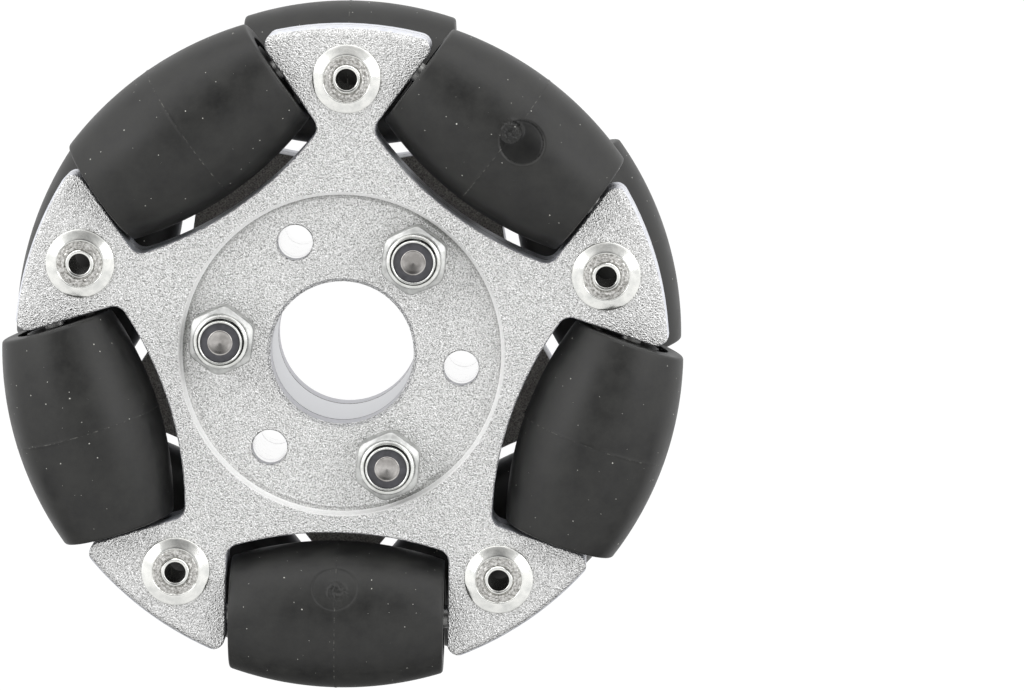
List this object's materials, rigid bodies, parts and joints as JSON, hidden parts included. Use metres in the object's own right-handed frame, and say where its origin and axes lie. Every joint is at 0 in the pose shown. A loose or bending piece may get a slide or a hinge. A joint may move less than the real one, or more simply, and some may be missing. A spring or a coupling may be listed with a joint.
{
  "type": "omni wheel",
  "caption": "Double-row omni wheel: rubber barrel rollers turn on pins clamped between riveted star-shaped aluminium shells, bolted through a hub with a plain bore.",
  "frame": {"origin": "on the wheel axis, in the plane where the rear row's rollers touch the table, which is the middle of the bounding box's bottom", "axes": "+Z along the wheel axis, from the bolt heads on the rear hub face towards the lock nuts on the front hub face; +Y towards one lobe of the front row"},
  "size_m": [0.06, 0.06, 0.026],
  "materials": {
    "blasted_aluminium": "sand blasted, fine grain, matt",
    "turned_aluminium": "turned, smooth satin",
    "rivet_aluminium": "pressed, bright",
    "zinc_steel": "zinc plated, bright",
    "nylon": "moulded, matt, dark grey",
    "tread_rubber": "moulded rubber, matt black",
    "core_plastic": "moulded, matt, grey black",
    "pin_steel": "ground"
  },
  "bodies": {
    "wheel": {"front_outer_shell": "blasted_aluminium", "front_inner_shell": "blasted_aluminium", "rear_inner_shell": "blasted_aluminium", "rear_outer_shell": "blasted_aluminium", "hub_spacer": "turned_aluminium", "front_rivets": "rivet_aluminium", "rear_rivets": "rivet_aluminium", "through_bolts": "zinc_steel", "lock_nuts": "zinc_steel", "lock_nut_inserts": "nylon", "front_roller_1_axle": "pin_steel", "front_roller_2_axle": "pin_steel", "front_roller_3_axle": "pin_steel", "front_roller_4_axle": "pin_steel", "front_roller_5_axle": "pin_steel", "rear_roller_1_axle": "pin_steel", "rear_roller_2_axle": "pin_steel", "rear_roller_3_axle": "pin_steel", "rear_roller_4_axle": "pin_steel", "rear_roller_5_axle": "pin_steel"},
    "front_roller_1": {"front_roller_1_tread": "tread_rubber", "front_roller_1_core": "core_plastic"},
    "front_roller_2": {"front_roller_2_tread": "tread_rubber", "front_roller_2_core": "core_plastic"},
    "front_roller_3": {"front_roller_3_tread": "tread_rubber", "front_roller_3_core": "core_plastic"},
    "front_roller_4": {"front_roller_4_tread": "tread_rubber", "front_roller_4_core": "core_plastic"},
    "front_roller_5": {"front_roller_5_tread": "tread_rubber", "front_roller_5_core": "core_plastic"},
    "rear_roller_1": {"rear_roller_1_tread": "tread_rubber", "rear_roller_1_core": "core_plastic"},
    "rear_roller_2": {"rear_roller_2_tread": "tread_rubber", "rear_roller_2_core": "core_plastic"},
    "rear_roller_3": {"rear_roller_3_tread": "tread_rubber", "rear_roller_3_core": "core_plastic"},
    "rear_roller_4": {"rear_roller_4_tread": "tread_rubber", "rear_roller_4_core": "core_plastic"},
    "rear_roller_5": {"rear_roller_5_tread": "tread_rubber", "rear_roller_5_core": "core_plastic"}
  },
  "joints": [
    {"name": "front_roller_1_spin", "type": "hinge", "parent": "wheel", "child": "front_roller_1", "pos_m": [-0.01381, 0.01901, 0.0195], "axis": [-0.809, -0.5878, 0], "continuous": true},
    {"name": "front_roller_2_spin", "type": "hinge", "parent": "wheel", "child": "front_roller_2", "pos_m": [-0.02235, -0.00726, 0.0195], "axis": [0.309, -0.9511, 0], "continuous": true},
    {"name": "front_roller_3_spin", "type": "hinge", "parent": "wheel", "child": "front_roller_3", "pos_m": [0, -0.0235, 0.0195], "axis": [1, 0, 0], "continuous": true},
    {"name": "front_roller_4_spin", "type": "hinge", "parent": "wheel", "child": "front_roller_4", "pos_m": [0.02235, -0.00726, 0.0195], "axis": [0.309, 0.9511, 0], "continuous": true},
    {"name": "front_roller_5_spin", "type": "hinge", "parent": "wheel", "child": "front_roller_5", "pos_m": [0.01381, 0.01901, 0.0195], "axis": [-0.809, 0.5878, 0], "continuous": true},
    {"name": "rear_roller_1_spin", "type": "hinge", "parent": "wheel", "child": "rear_roller_1", "pos_m": [-0.02245, 0.00695, 0.0065], "axis": [-0.2957, -0.9553, 0], "continuous": true},
    {"name": "rear_roller_2_spin", "type": "hinge", "parent": "wheel", "child": "rear_roller_2", "pos_m": [-0.01355, -0.0192, 0.0065], "axis": [0.8171, -0.5764, 0], "continuous": true},
    {"name": "rear_roller_3_spin", "type": "hinge", "parent": "wheel", "child": "rear_roller_3", "pos_m": [0.01408, -0.01882, 0.0065], "axis": [0.8007, 0.599, 0], "continuous": true},
    {"name": "rear_roller_4_spin", "type": "hinge", "parent": "wheel", "child": "rear_roller_4", "pos_m": [0.02225, 0.00757, 0.0065], "axis": [-0.3223, 0.9466, 0], "continuous": true},
    {"name": "rear_roller_5_spin", "type": "hinge", "parent": "wheel", "child": "rear_roller_5", "pos_m": [-0.00033, 0.0235, 0.0065], "axis": [-0.9999, -0.014, 0], "continuous": true}
  ]
}
